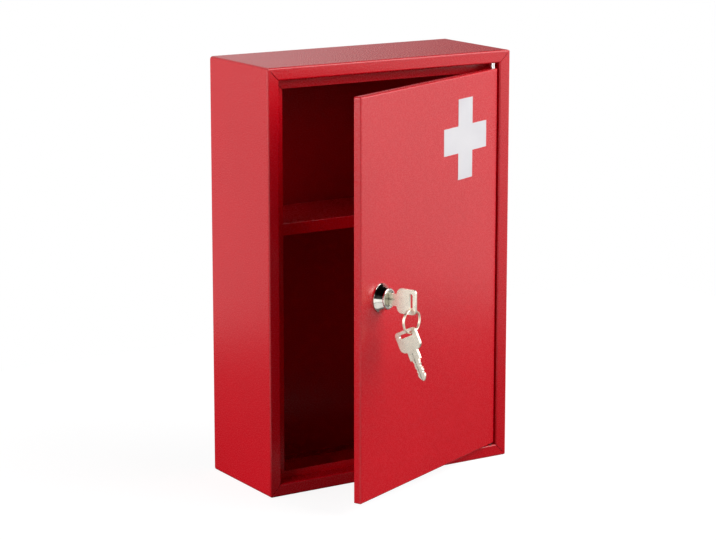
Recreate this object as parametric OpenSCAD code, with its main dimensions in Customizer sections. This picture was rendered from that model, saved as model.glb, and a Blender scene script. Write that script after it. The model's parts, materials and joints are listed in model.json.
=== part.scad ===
// Lockable wall cabinet for medicines and first aid, folded from sheet steel.
// Millimetres, +Z up. The origin is the middle of the face that it stands on:
// the door is on the -Y side, the wall face on the +Y side, the hinge on the +X side.

/* [Casing] */
// Width over the side panels
casing_w = 200; // [170:5:320]
// Height over the top and bottom panels
casing_h = 300; // [250:5:450]
// Depth from the front flange to the wall face
casing_d = 80; // [70:5:160]
// Thickness of the sheet steel
sheet = 0.8; // [0.6:0.1:1.2]
// Outside radius of every fold
fold_r = 1.2; // [1.2:0.1:2]
// Outside radius of the four corners of the casing
corner_r = 2.2; // [1.6:0.1:3]
// Depth of the rim folded forward around the back panel
back_rim = 10; // [6:1:20]

/* [Door frame] */
// Width of the front flange around the door
flange_w = 9; // [8:0.5:20]
// Depth from the front of the flange to the stop lip
return_d = 12; // [10:0.5:18]
// Reach of the stop lip past the flange at both sides
side_lip = 9.4; // [6:0.1:12]
// Reach of the stop lip past the top flange
top_lip = 7.3; // [5.5:0.1:12]
// Reach of the stop lip past the bottom flange
bottom_lip = 4.5; // [3:0.1:12]
// Width of the open line where two flanges meet at 45 degrees
mitre_gap = 0.4; // [0.1:0.1:0.6]

/* [Shelf] */
// Height of the top of the shelf above the base
shelf_z = 189; // [100:1:210]
// Depth of the fold along the front and the back of the shelf
shelf_lip = 8.5; // [8:0.5:20]
// Distance from the stop lip back to the front of the shelf
shelf_setback = 5.2; // [2:0.2:20]
// Width of each leg of the two shelf brackets
bracket_leg = 7; // [5:0.5:12]
// Play between the shelf and the rims beside and behind it
shelf_play = 0.3; // [0.2:0.1:1]

/* [Wall fixing] */
// Distance between the wall holes from side to side
wall_hole_dx = 150; // [100:5:150]
// Distance between the wall holes from top to bottom
wall_hole_dz = 220; // [150:5:220]
// Height of the middle of the wall holes
wall_hole_z = 150; // [125:5:160]
// Diameter of each wall hole
wall_hole_d = 6; // [4:0.5:10]

/* [Door] */
// Depth of the folded door
door_t = 6; // [5.5:0.5:9]
// Width of the hem folded in around the back of the door
hem_w = 8; // [6:0.5:12]
// Gap beside the door at the hinge
hinge_gap = 1.5; // [1.5:0.1:2.5]
// Gap beside the door at the lock
free_gap = 3.5; // [2:0.1:4.5]
// Gap above the door
top_gap = 4; // [3:0.1:5]
// Gap below the door
bottom_gap = 1; // [1:0.1:2]
// Angle at which the door stands open
door_open = 24.3; // [15:0.1:60]
// Diameter of each rubber buffer on the back of the door
buffer_d = 5; // [4:0.5:6]
// Distance from each buffer to the free edge of the door
buffer_inset = 30; // [10:1:60]

/* [Hinge] */
// Diameter of the two hinge pins
pin_d = 3; // [2.5:0.1:3.4]
// Distance from the hinge axis to the edge of the door
pin_edge = 2.7; // [2.6:0.1:3.2]
// Distance from the hinge axis to the front of the door
pin_front = 2.6; // [2.6:0.1:3.2]
// Radial play of the pins in the frame
pin_play = 0.06; // [0.03:0.01:0.1]
// Length of each pin past the frame
pin_reach = 3; // [2:0.5:5]
// Height of the blocks that hold the pins inside the door
block_h = 9; // [6:0.5:14]
// Diameter of the washer under the door
hinge_washer_d = 5; // [4.5:0.5:7]

/* [Sign] */
// Height and width of the cross
cross_size = 57; // [30:1:60]
// Width of each arm of the cross
cross_arm = 19; // [10:1:20]
// Distance from the cross to the top and hinge edges of the door
cross_margin = 16; // [5:1:30]
// Thickness of the film that it is cut from
cross_film = 0.15; // [0.1:0.05:0.3]

/* [Lock] */
// Distance from the lock to the free edge of the door
lock_inset = 24.3; // [24:0.1:40]
// Diameter of the rim of the lock on the door
rim_d = 20; // [19:0.5:24]
// Diameter of the ring at the front of the lock
ring_d = 14.4; // [14:0.2:16]
// How far the lock stands out of the door
lock_out = 7; // [5:0.5:10]
// Diameter of the threaded body
body_d = 16; // [15.5:0.5:17]
// Width of the body across its two flats
body_flats = 14; // [13.5:0.5:15]
// Thread pitch of the body
body_pitch = 1; // [0.75:0.25:1.5]
// Diameter of the turning plug
plug_d = 10.6; // [10:0.2:11]
// Radial play of the plug in the body
plug_play = 0.05; // [0.03:0.01:0.1]
// Width of the nut across its flats
nut_flats = 20; // [19:0.5:22]
// Thickness of the nut
nut_t = 4; // [3:0.5:5]
// Thickness of the toothed washer under the nut
tooth_washer_t = 0.7; // [0.5:0.1:1]
// Side of the square that drives the cam
drive = 7; // [6:0.2:7]
// Thickness of the cam
cam_t = 2; // [1.5:0.1:3]
// Width of the arm of the cam
cam_w = 12; // [9:0.5:14]
// How far the locked cam reaches behind the stop lip
cam_bite = 7.5; // [4:0.5:8]
// Gap between the locked cam and the stop lip
cam_gap = 0.6; // [0.4:0.1:1]

/* [Keys] */
// Thickness of the two keys
key_t = 2; // [1.6:0.1:2]
// Width of the head of a key
head_w = 17.3; // [16.5:0.1:20]
// Length of the head of a key
head_l = 14.9; // [13:0.1:18]
// Length of the neck that stays outside the lock
neck_l = 6.3; // [4:0.1:8]
// Width of the neck
neck_w = 8.2; // [7:0.1:9]
// Length of the blade
blade_l = 15; // [12:0.1:15]
// Width of the blade
blade_w = 5.2; // [4.8:0.1:6]
// Length of the slot in the head
slot_l = 11.4; // [10:0.1:11.8]
// Width of the slot in the head
slot_w = 2.6; // [2.6:0.1:3]
// Distance from the end of the head to the middle of the slot
slot_inset = 3.6; // [3.3:0.1:5]
// Outside diameter of the split ring
split_ring_d = 17.4; // [16:0.2:22]
// Diameter of the wire of the split ring
wire_d = 1; // [0.8:0.1:1]
// Angle between the split ring and the door
ring_yaw = 8; // [0:1:10]
// Angle at which the spare key leans as it hangs
spare_lean = 26; // [15:1:35]

/* [Hidden] */
$fn = 48;
tiny = 0.01;

// Frame and opening, measured from the outside of the casing
frame_back = return_d + sheet;
opening_w = casing_w - 2 * flange_w;
opening_h = casing_h - 2 * flange_w;
front_y = -casing_d / 2;
inner_fold_r = fold_r - sheet;
inner_corner_r = corner_r - sheet;
mitre_shift = mitre_gap / sqrt(2);

// Door, in its closed place
door_w = opening_w - hinge_gap - free_gap;
door_h = opening_h - top_gap - bottom_gap;
door_x1 = casing_w / 2 - flange_w - hinge_gap;
door_x0 = door_x1 - door_w;
door_z0 = flange_w + bottom_gap;
door_z1 = door_z0 + door_h;
buffer_gap = 0.3;
buffer_edge = fold_r + buffer_d / 2;
buffer_h = return_d - door_t - buffer_gap;

// Hinge
pin_x = door_x1 - pin_edge;
pin_y = front_y + pin_front;
pin_hole_d = pin_d + 2 * pin_play;
washer_gap = 0.3;

// Shelf and its brackets
shelf_y0 = front_y + frame_back + shelf_setback;
shelf_y1 = casing_d / 2 - sheet - shelf_play;
shelf_w = casing_w - 4 * sheet - 2 * shelf_play;
bracket_y0 = shelf_y0 + sheet + 2;
bracket_y1 = casing_d / 2 - sheet - back_rim - 1;

// Lock: distances along its axis are measured outwards from the front of the door
lock_x = door_x0 + lock_inset;
lock_z = door_z0 + door_h / 2;
cam_front = -(frame_back + cam_gap);
cam_back = cam_front - cam_t;
body_end = cam_front + 0.1;
cam_reach = lock_inset + free_gap - side_lip + cam_bite;
bore_d = plug_d + 2 * plug_play;
rim_t = 1.1;
ring_t = 1.2;
ring_edge = 0.4;
ring_top_w = 0.7;
dish_t = 0.6;
waist_d = ring_d - 0.5;
thread_depth = 0.45;
wafer_groove_w = 5.4;
wafer_groove_d = bore_d + 2.2;
plug_face = lock_out - dish_t / 2;
keyway_w = key_t + 0.3;
keyway_h = blade_w + 0.4;
keyway_end = plug_face - blade_l - 0.8;
wafer_n = 5;
wafer_pitch = 2.3;
wafer_t = 1.1;
wafer_w = 5;
wafer_play = 0.05;
wafer_z0 = plug_face - 3;
screw_d = 3.8;
screw_head_d = 8;
screw_head_t = 2.4;
cam_washer_t = 0.8;
cam_washer_d = 10;
screw_hole_end = keyway_end - 1;

// Keys: the head of the key in the lock ends at head_end, outwards from the door
shoulder_gap = 0.1;
head_end = plug_face + shoulder_gap + neck_l + head_l;
head_far_r = 2.5;
head_near_r = 4.2;
blade_tip_w = 1.2;
blade_tip_l = 3.5;
cut_pitch = 2.3;
cut_depths = [0.5, 0.8, 0.35, 0.65];
groove_w = 1.1;
groove_t = 0.5;
groove_side = 0.45;
groove_start = head_l + 1.5;

// Split ring: it turns around the bar between the slot and the edge of the head
bar_w = (head_w - slot_l) / 2;
bar_mid = (head_w + slot_l) / 4;
slot_out = head_end - slot_inset;
wire_stack = 0.96 * wire_d / 2;
split_ring_r = split_ring_d / 2 - wire_d / 2;
ring_in_r = split_ring_d / 2 - wire_d;
bar_clear = 0.2;
ring_drop = ring_in_r - norm([bar_w, key_t]) / 2 - bar_clear;
ring_mid = -(bar_mid + ring_drop);
spare_hang = ring_mid - split_ring_r;
slot_end = (slot_l - slot_w) / 2;

// ---------------------------------------------------------------- folded sheet

// Quarter of a tube that rounds the corner at the origin, in the +X +Y quadrant
module fold_arc() {
    intersection() {
        square(fold_r);
        translate([fold_r, fold_r]) difference() {
            circle(fold_r);
            circle(inner_fold_r);
        }
    }
}

// Section of one side of the casing: x runs in from the outside, y back from the front
module frame_section(lip) {
    flange_back = flange_w - sheet;
    translate([0, fold_r]) square([sheet, casing_d - fold_r]);
    fold_arc();
    translate([fold_r, 0]) square([flange_w - 2 * fold_r, sheet]);
    translate([flange_w, 0]) mirror([1, 0]) fold_arc();
    translate([flange_back, fold_r]) square([sheet, frame_back - 2 * fold_r]);
    translate([flange_back, frame_back]) mirror([0, 1]) fold_arc();
    translate([flange_back + fold_r, return_d]) square([lip + sheet - fold_r, sheet]);
}

// Square with four round corners, centred
module round_square(w, h, r) {
    square([w - 2 * r, h], center = true);
    square([w, h - 2 * r], center = true);
    for (x = [-1, 1], y = [-1, 1])
        translate([x * (w / 2 - r), y * (h / 2 - r)]) circle(r);
}

// Joint with the next side, as a line along x: 45 degrees over the flange, open past the
// corner, then slanted so that lips of two widths still meet
function mitre_line(lip, next_lip) = [
    [0, 0],
    [2 * fold_r, 2 * fold_r],
    [2 * fold_r, 2 * fold_r + mitre_shift],
    [flange_w, flange_w + mitre_shift],
    [flange_w + lip + tiny, flange_w + next_lip + mitre_shift]
];

// One side of the casing, standing along +Z from its corner, cut at both ends
module frame_panel(length, lip, first_lip, last_lip) {
    last = mitre_line(lip, last_lip);
    intersection() {
        union() {
            linear_extrude(length) frame_section(lip);
            corner_fillet();
            translate([0, 0, length]) mirror([0, 0, 1]) corner_fillet();
        }
        rotate([90, 0, 0]) translate([0, 0, -casing_d - tiny])
            linear_extrude(casing_d + 2 * tiny)
                polygon(concat(
                    mitre_line(lip, first_lip),
                    [for (i = [len(last) - 1 : -1 : 0]) [last[i][0], length - last[i][1]]]));
    }
}

// Rounds the inside of a corner of the casing to the thickness of the sheet
module corner_fillet() {
    translate([0, casing_d, 0]) rotate([90, 0, 0]) linear_extrude(casing_d - sheet / 2)
        difference() {
            translate([sheet / 2, sheet / 2]) square(corner_r - sheet / 2);
            translate([corner_r, corner_r]) circle(inner_corner_r);
        }
}

// Rounds the four corners of the casing
module casing_outline() {
    translate([0, casing_d, casing_h / 2]) rotate([90, 0, 0])
        linear_extrude(2 * casing_d) round_square(casing_w, casing_h, corner_r);
}

module casing_side(from_right) {
    mirror([from_right ? 1 : 0, 0, 0]) intersection() {
        translate([-casing_w / 2, front_y, 0])
            frame_panel(casing_h, side_lip, bottom_lip, top_lip);
        casing_outline();
    }
}

// The top panel, or the bottom panel turned over
module casing_cap(lip, at_top) {
    difference() {
        intersection() {
            translate([-casing_w / 2, front_y, at_top ? casing_h : 0])
                mirror([0, 0, at_top ? 0 : 1]) rotate([0, 90, 0])
                    frame_panel(casing_w, lip, side_lip, side_lip);
            casing_outline();
        }
        translate([pin_x, pin_y, at_top ? casing_h - flange_w - 1 : flange_w - sheet - 1])
            cylinder(d = pin_hole_d, h = sheet + 2);
    }
}

// Solid block with all its edges rounded, centred on x and z, from y = 0 back: r is the
// radius around its front and back, and corner that of its four corners
module soft_block(w, h, d, r, corner) {
    intersection() {
        translate([0, d / 2, -h / 2]) linear_extrude(h) round_square(w, d, r);
        translate([-w / 2, d / 2, 0]) rotate([90, 0, 90])
            linear_extrude(w) round_square(d, h, r);
        translate([0, d, 0]) rotate([90, 0, 0]) linear_extrude(d) round_square(w, h, corner);
    }
}

// ---------------------------------------------------------------- casing

module left_side_panel() {
    color("crimson") casing_side(false);
}

module right_side_panel() {
    color("crimson") casing_side(true);
}

module top_panel() {
    color("crimson") casing_cap(top_lip, true);
}

module bottom_panel() {
    color("crimson") casing_cap(bottom_lip, false);
}

// Tray that closes the back: its rim points forward inside the casing
module back_panel() {
    w = casing_w - 2 * sheet;
    h = casing_h - 2 * sheet;
    color("firebrick") difference() {
        translate([0, casing_d / 2, casing_h / 2]) mirror([0, 1, 0]) difference() {
            soft_block(w, h, 2 * back_rim, fold_r, inner_corner_r);
            translate([0, sheet, 0]) soft_block(
                w - 2 * sheet, h - 2 * sheet, 2 * back_rim,
                inner_fold_r, max(inner_corner_r - sheet, inner_fold_r));
            translate([-w, back_rim, -h]) cube([2 * w, 2 * back_rim, 2 * h]);
        }
        for (x = [-1, 1], z = [-1, 1])
            translate([x * wall_hole_dx / 2, casing_d / 2 + 1, wall_hole_z + z * wall_hole_dz / 2])
                rotate([90, 0, 0]) cylinder(d = wall_hole_d, h = sheet + 2);
    }
}

// Shelf with its front and back edges folded down, lying on the brackets
module shelf() {
    depth = shelf_y1 - shelf_y0;
    color("firebrick") translate([-shelf_w / 2, shelf_y0, shelf_z]) rotate([90, 0, 90])
        linear_extrude(shelf_w) for (turn = [0, 1])
            translate([turn * depth, 0]) mirror([turn, 0]) mirror([0, 1]) {
                fold_arc();
                translate([fold_r, 0]) square([depth / 2 - fold_r, sheet]);
                translate([0, fold_r]) square([sheet, shelf_lip - fold_r]);
            }
}

// Angle spot-welded to the left side: its level leg carries the shelf
module shelf_bracket() {
    translate([-casing_w / 2 + sheet, bracket_y0, shelf_z - sheet]) mirror([0, 0, 1])
        rotate([-90, 0, 0]) mirror([0, 1, 0]) linear_extrude(bracket_y1 - bracket_y0) {
            fold_arc();
            translate([fold_r, 0]) square([bracket_leg - fold_r, sheet]);
            translate([0, fold_r]) square([sheet, bracket_leg - fold_r]);
        }
}

module left_shelf_bracket() {
    color("brown") shelf_bracket();
}

module right_shelf_bracket() {
    color("brown") mirror([1, 0, 0]) shelf_bracket();
}

// Washer on the bottom of the frame that keeps the door off the paint
module hinge_washer() {
    color("brown") translate([pin_x, pin_y, flange_w]) difference() {
        cylinder(d = hinge_washer_d, h = bottom_gap - washer_gap);
        translate([0, 0, -1]) cylinder(d = pin_hole_d, h = bottom_gap + 2);
    }
}

// ---------------------------------------------------------------- door

// Turns what is modelled at the closed door to where the door stands open
module on_door() {
    translate([pin_x, pin_y, 0]) rotate([0, 0, door_open]) translate([-pin_x, -pin_y, 0])
        children();
}

// Space inside the folded door
module door_hollow() {
    translate([door_x0 + door_w / 2, front_y + sheet, door_z0 + door_h / 2])
        soft_block(door_w - 2 * sheet, door_h - 2 * sheet, door_t - 2 * sheet,
            inner_fold_r, inner_fold_r);
}

module door_panel() {
    color("red") on_door() difference() {
        translate([door_x0 + door_w / 2, front_y, door_z0 + door_h / 2])
            soft_block(door_w, door_h, door_t, fold_r, fold_r);
        door_hollow();
        translate([door_x0 + hem_w, front_y + door_t / 2, door_z0 + hem_w])
            cube([door_w - 2 * hem_w, door_t, door_h - 2 * hem_w]);
        translate([lock_x, front_y - 1, lock_z]) rotate([-90, 0, 0])
            linear_extrude(sheet + 2) body_outline(0.1);
        translate([pin_x, pin_y, door_z0 - 1]) cylinder(d = pin_d, h = door_h + 2);
    }
}

module door_cross() {
    mid = cross_margin + cross_size / 2;
    color("white") on_door()
        translate([door_x1 - mid, front_y, door_z1 - mid]) rotate([90, 0, 0])
            linear_extrude(cross_film) {
                square([cross_size, cross_arm], center = true);
                square([cross_arm, cross_size], center = true);
            }
}

module door_buffers() {
    color("dimgray") on_door() for (z = [door_z0 + buffer_edge, door_z1 - buffer_edge])
        translate([door_x0 + buffer_inset, front_y + door_t, z]) rotate([-90, 0, 0])
            cylinder(d1 = buffer_d, d2 = 0.8 * buffer_d, h = buffer_h);
}

// Block welded into the corner of the door, drilled for the pin
module hinge_block(z) {
    length = pin_edge + pin_d / 2 + 4;
    on_door() difference() {
        intersection() {
            door_hollow();
            translate([door_x1 - length, front_y, z]) cube([length, door_t, block_h]);
        }
        translate([pin_x, pin_y, z - 1]) cylinder(d = pin_d, h = block_h + 2);
    }
}

module top_hinge_block() {
    color("gray") hinge_block(door_z1 - sheet - block_h);
}

module bottom_hinge_block() {
    color("gray") hinge_block(door_z0 + sheet);
}

module hinge_pin(z0, z1) {
    tip = 0.4;
    on_door() translate([pin_x, pin_y, z0]) {
        cylinder(d1 = pin_d - 2 * tip, d2 = pin_d, h = tip);
        translate([0, 0, tip]) cylinder(d = pin_d, h = z1 - z0 - 2 * tip);
        translate([0, 0, z1 - z0 - tip]) cylinder(d1 = pin_d, d2 = pin_d - 2 * tip, h = tip);
    }
}

module top_hinge_pin() {
    color("silver")
        hinge_pin(door_z1 - sheet - block_h, casing_h - flange_w + sheet + pin_reach);
}

module bottom_hinge_pin() {
    color("silver") hinge_pin(flange_w - sheet - pin_reach, door_z0 + sheet + block_h);
}

// ---------------------------------------------------------------- lock

// Sets what is modelled around +Z, outwards, on the axis of the lock: y is up
module at_lock() {
    on_door() translate([lock_x, front_y, lock_z]) rotate([90, 0, 0]) children();
}

// Round body with two flats, with play all round
module body_outline(play) {
    intersection() {
        circle(d = body_d + 2 * play);
        square([body_flats + 2 * play, 2 * body_d], center = true);
    }
}

// Half section of the lock body, from the rim on the door to the ring at the front
module lock_section() {
    turns = floor((-body_end - sheet - 2) / body_pitch);
    thread_z = -sheet - 1;
    polygon(concat(
        [[bore_d / 2, body_end], [body_d / 2 - thread_depth, body_end]],
        [for (i = [turns : -1 : 0], side = [-1, 0])
            [body_d / 2 - (side == 0 ? 0 : thread_depth), thread_z - (i - side / 2) * body_pitch]],
        [
            [body_d / 2, 0],
            [rim_d / 2, 0],
            [rim_d / 2, rim_t * 0.6],
            [rim_d / 2 - 0.4, rim_t],
            [waist_d / 2, lock_out - ring_t],
            [ring_d / 2, lock_out - ring_t + ring_edge / 2],
            [ring_d / 2, lock_out - ring_edge],
            [ring_d / 2 - ring_edge, lock_out],
            [ring_d / 2 - ring_edge - ring_top_w, lock_out],
            [bore_d / 2 + ring_edge, lock_out - dish_t],
            [bore_d / 2, lock_out - dish_t]
        ]));
}

module lock_housing() {
    color("gainsboro") at_lock() difference() {
        rotate_extrude() lock_section();
        for (side = [-1, 1])
            translate([side * (body_flats / 2 + body_d), 0, body_end - 1 + (1 - body_end) / 2])
                cube([2 * body_d, 2 * body_d, 1 - body_end], center = true);
        wafer_grooves();
    }
}

// Grooves along the bore that the wafers drop into without the key, locked or unlocked
module wafer_grooves() {
    depth = wafer_n * wafer_pitch + 1;
    for (turn = [0, 90]) rotate([0, 0, turn])
        translate([-wafer_groove_w / 2, -wafer_groove_d / 2, wafer_z0 + wafer_t - depth])
            cube([wafer_groove_w, wafer_groove_d, depth]);
}

module lock_tooth_washer() {
    teeth = 12;
    outer = body_d / 2 + 3;
    color("silver") at_lock() translate([0, 0, -sheet - tooth_washer_t]) difference() {
        cylinder(r = outer, h = tooth_washer_t);
        translate([0, 0, -1]) cylinder(d = body_d + 0.2, h = tooth_washer_t + 2);
        for (i = [0 : teeth - 1]) rotate([0, 0, (i + 0.5) * 360 / teeth])
            translate([outer - 1.2, -0.9, -1]) cube([3, 1.8, tooth_washer_t + 2]);
    }
}

module lock_nut() {
    color("silver") at_lock() translate([0, 0, -sheet - tooth_washer_t - nut_t]) difference() {
        intersection() {
            rotate([0, 0, 30]) cylinder(d = nut_flats / cos(30), h = nut_t, $fn = 6);
            cylinder(d1 = nut_flats * 1.06, d2 = nut_flats * 1.06 + 2 * nut_t, h = nut_t);
        }
        translate([0, 0, -1]) cylinder(d = body_d + 0.1, h = nut_t + 2);
    }
}

// Turning plug with its keyway, its wafer slots and the square that drives the cam
module lock_plug() {
    color("darkkhaki") at_lock() difference() {
        union() {
            translate([0, 0, body_end]) cylinder(d = plug_d, h = plug_face - body_end);
            intersection() {
                translate([-drive / 2, -drive / 2, cam_back + 0.1])
                    cube([drive, drive, body_end - cam_back]);
                translate([0, 0, cam_back]) cylinder(d = 1.3 * drive, h = cam_t + 2);
            }
        }
        translate([-keyway_w / 2, -keyway_h / 2, keyway_end])
            cube([keyway_w, keyway_h, plug_face - keyway_end + 1]);
        for (i = [0 : wafer_n - 1])
            translate([-wafer_w / 2 - wafer_play, -plug_d, wafer_z0 - i * wafer_pitch - wafer_play])
                cube([wafer_w + 2 * wafer_play, 2 * plug_d, wafer_t + 2 * wafer_play]);
        translate([0, 0, cam_back - 1]) cylinder(d = screw_d, h = screw_hole_end - cam_back + 1);
    }
}

// Five flat tumblers, level with the plug as the key in the lock holds them
module lock_wafers() {
    color("goldenrod") at_lock() for (i = [0 : wafer_n - 1])
        translate([0, 0, wafer_z0 - i * wafer_pitch]) difference() {
            intersection() {
                cylinder(d = plug_d - 0.2, h = wafer_t);
                translate([-wafer_w / 2, -plug_d, 0]) cube([wafer_w, 2 * plug_d, wafer_t]);
            }
            translate([-keyway_w / 2 - 0.05, -keyway_h / 2 - 0.2, -1])
                cube([keyway_w + 0.1, keyway_h + 0.4, wafer_t + 2]);
        }
}

// Flat arm behind the door: it hangs unlocked and turns behind the stop lip
module lock_cam() {
    color("lightgray") at_lock() translate([0, 0, cam_back]) difference() {
        union() {
            cylinder(d = body_d + 1, h = cam_t);
            translate([-cam_w / 2, cam_w / 2 - cam_reach, 0])
                cube([cam_w, cam_reach - cam_w / 2, cam_t]);
            translate([0, cam_w / 2 - cam_reach, 0]) cylinder(d = cam_w, h = cam_t);
        }
        translate([-drive / 2 - 0.05, -drive / 2 - 0.05, -1])
            cube([drive + 0.1, drive + 0.1, cam_t + 2]);
    }
}

module cam_washer() {
    color("silver") at_lock() translate([0, 0, cam_back - cam_washer_t]) difference() {
        cylinder(d = cam_washer_d, h = cam_washer_t);
        translate([0, 0, -1]) cylinder(d = screw_d + 0.3, h = cam_washer_t + 2);
    }
}

module cam_screw() {
    head_front = cam_back - cam_washer_t;
    color("silver") at_lock() difference() {
        union() {
            translate([0, 0, head_front - 1])
                cylinder(d = screw_d, h = screw_hole_end - head_front + 0.5);
            translate([0, 0, head_front - screw_head_t]) cylinder(
                d1 = screw_head_d - 1.6, d2 = screw_head_d, h = screw_head_t / 2);
            translate([0, 0, head_front - screw_head_t / 2])
                cylinder(d = screw_head_d, h = screw_head_t / 2);
        }
        for (turn = [0, 90]) rotate([0, 0, turn])
            translate([-2.2, -0.5, head_front - screw_head_t - 1]) cube([4.4, 1, 2.4]);
    }
}

// ---------------------------------------------------------------- keys

// Flat outline of a key: x across, y from the end of the head to the tip
module key_outline() {
    shoulder = head_l;
    blade_y = shoulder + neck_l;
    tip_y = blade_y + blade_l;
    difference() {
        union() {
            translate([-head_w / 2 + head_far_r, 0]) square([head_w - 2 * head_far_r, head_l / 2]);
            translate([-head_w / 2, head_far_r])
                square([head_w, head_l - head_far_r - head_near_r]);
            translate([-head_w / 2 + head_near_r, head_l / 2])
                square([head_w - 2 * head_near_r, head_l / 2]);
            for (side = [-1, 1]) {
                translate([side * (head_w / 2 - head_far_r), head_far_r]) circle(head_far_r);
                translate([side * (head_w / 2 - head_near_r), head_l - head_near_r])
                    circle(head_near_r);
            }
            translate([-neck_w / 2, shoulder - 1]) square([neck_w, neck_l + 1]);
            polygon([
                [-blade_w / 2, blade_y - 1], [blade_w / 2, blade_y - 1],
                [blade_w / 2, tip_y - blade_tip_l], [blade_tip_w / 2, tip_y],
                [-blade_tip_w / 2, tip_y], [-blade_w / 2, tip_y - blade_tip_l]
            ]);
        }
        translate([0, slot_inset]) {
            square([slot_l - slot_w, slot_w], center = true);
            for (side = [-1, 1]) translate([side * slot_end, 0]) circle(d = slot_w);
        }
        for (side = [-1, 1], i = [0 : len(cut_depths) - 1]) {
            depth = cut_depths[side > 0 ? i : len(cut_depths) - 1 - i];
            translate([side * blade_w / 2, blade_y + (i + 1) * cut_pitch]) polygon([
                [side * 0.1, -depth - 0.5], [-side * depth, -0.35],
                [-side * depth, 0.35], [side * 0.1, depth + 0.5]
            ]);
        }
    }
}

// Key with one milled groove in each face of its blade
module key_blank() {
    groove_l = neck_l + blade_l;
    difference() {
        translate([0, 0, -key_t / 2]) linear_extrude(key_t) key_outline();
        for (face = [0, 1]) mirror([face, 0, 0]) mirror([0, 0, face])
            translate([groove_side - groove_w / 2, groove_start, key_t / 2 - groove_t])
                cube([groove_w, groove_l, groove_t + 1]);
    }
}

// Stands a key on edge in the plane of the keyway, its tip inwards
module key_in_plane() {
    rotate([0, 90, 0]) rotate([0, 0, -90]) children();
}

module door_key() {
    color("lightsteelblue") at_lock() translate([0, 0, head_end])
        key_in_plane() key_blank();
}

// Two turns of spring wire, side by side
module key_ring() {
    color("lightgray") at_lock() translate([0, ring_mid, slot_out]) rotate([0, -ring_yaw, 0])
        for (side = [-1, 1]) translate([0, 0, side * wire_stack])
            rotate_extrude() translate([split_ring_r, 0]) circle(d = wire_d);
}

// The other key, hanging by the end of its slot from the lowest point of the ring
module spare_key() {
    color("lightsteelblue") at_lock() translate([0, spare_hang, slot_out])
        rotate([-90 - spare_lean, 0, 0])
            key_in_plane() translate([-slot_end, -slot_inset, 0]) key_blank();
}

left_side_panel();
right_side_panel();
top_panel();
bottom_panel();
back_panel();
shelf();
left_shelf_bracket();
right_shelf_bracket();
hinge_washer();
door_panel();
door_cross();
door_buffers();
top_hinge_block();
bottom_hinge_block();
top_hinge_pin();
bottom_hinge_pin();
lock_housing();
lock_tooth_washer();
lock_nut();
lock_plug();
lock_wafers();
lock_cam();
cam_washer();
cam_screw();
door_key();
key_ring();
spare_key();
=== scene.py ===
import json
import math

import bpy
from mathutils import Matrix, Vector


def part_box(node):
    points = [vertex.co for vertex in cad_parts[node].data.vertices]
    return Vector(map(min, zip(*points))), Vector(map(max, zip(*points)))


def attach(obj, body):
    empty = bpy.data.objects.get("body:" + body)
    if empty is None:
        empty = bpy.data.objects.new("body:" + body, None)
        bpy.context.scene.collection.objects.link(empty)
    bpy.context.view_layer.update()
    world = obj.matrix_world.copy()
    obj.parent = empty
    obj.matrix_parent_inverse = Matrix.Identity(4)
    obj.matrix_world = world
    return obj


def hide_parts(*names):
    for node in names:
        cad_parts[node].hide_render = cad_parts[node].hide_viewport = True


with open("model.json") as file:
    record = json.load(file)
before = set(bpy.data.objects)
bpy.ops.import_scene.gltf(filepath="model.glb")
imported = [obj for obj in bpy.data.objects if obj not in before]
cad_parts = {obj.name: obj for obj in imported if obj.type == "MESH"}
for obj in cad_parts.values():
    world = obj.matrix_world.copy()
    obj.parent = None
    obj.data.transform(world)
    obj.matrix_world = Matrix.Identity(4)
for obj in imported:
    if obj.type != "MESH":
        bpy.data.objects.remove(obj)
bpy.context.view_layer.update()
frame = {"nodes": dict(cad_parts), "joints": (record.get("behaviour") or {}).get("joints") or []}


# ------------------------------------------------------------------ casing
# Four strips of 0.8 mm sheet steel, each folded at the front into a flange, a return and a
# stop lip, welded at mitred corners around a tray that closes the back. Sprayed with red
# polyester powder and baked, inside and out, so every fold has the same skin.
MM = 0.001
SIGNAL_RED = "d0031a"
SIGNAL_RED_DEEP = "bd0315"
# Deeper reds for the back panel, as painted shade inside the box.
BACK_SHADE_RED = "a4020f"
BACK_SHADE_RED_DEEP = "94020c"
POWDER_IOR = 1.5
POWDER_ROUGH = (0.24, 0.30)
PEEL_MM = 2.0
PEEL_HEIGHT_MM = 0.10    # from the noise's lowest to its highest, which it seldom reaches
GRAIN_MM = 0.8           # the real specks are near 0.1 mm: drawn coarser so that they show
GRAIN_HEIGHT_MM = 0.016
CLOUD_MM = 60
# How far the grain and the clouds take the colour from the bright red to the deep one.
GRAIN_SHADE = (0.05, 0.45)
CLOUD_SHADE = (0.0, 0.25)
# A noise lies mostly between these two, and is stretched from there over what it drives.
MIDDLE = {"From Min": 0.25, "From Max": 0.75}
SOFT_STEP = {"interpolation_type": "SMOOTHSTEP"}
# A Mix node of colours takes its share and its two colours at these places.
COLOUR_MIX = {"data_type": "RGBA"}
SHARE, FIRST, SECOND = 0, 6, 7


def linear(hex_colour):
    """Turns an sRGB hex value into the linear colour that a shader socket takes."""
    channels = [int(hex_colour[i:i + 2], 16) / 255 for i in (0, 2, 4)]
    return [c / 12.92 if c <= 0.04045 else ((c + 0.055) / 1.055) ** 2.4 for c in channels] + [1.0]


def add_node(tree, kind, settings, inputs):
    """Adds a node, sets its properties, and sets or links its inputs. A node that is given
    as an input is linked by its first output in use."""
    node = tree.nodes.new(kind)
    for name, value in settings.items():
        setattr(node, name, value)
    for name, value in inputs.items():
        if isinstance(value, bpy.types.Node):
            value = next(output for output in value.outputs if output.enabled)
        if isinstance(value, bpy.types.NodeSocket):
            tree.links.new(value, node.inputs[name])
        else:
            node.inputs[name].default_value = value
    return node


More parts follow.
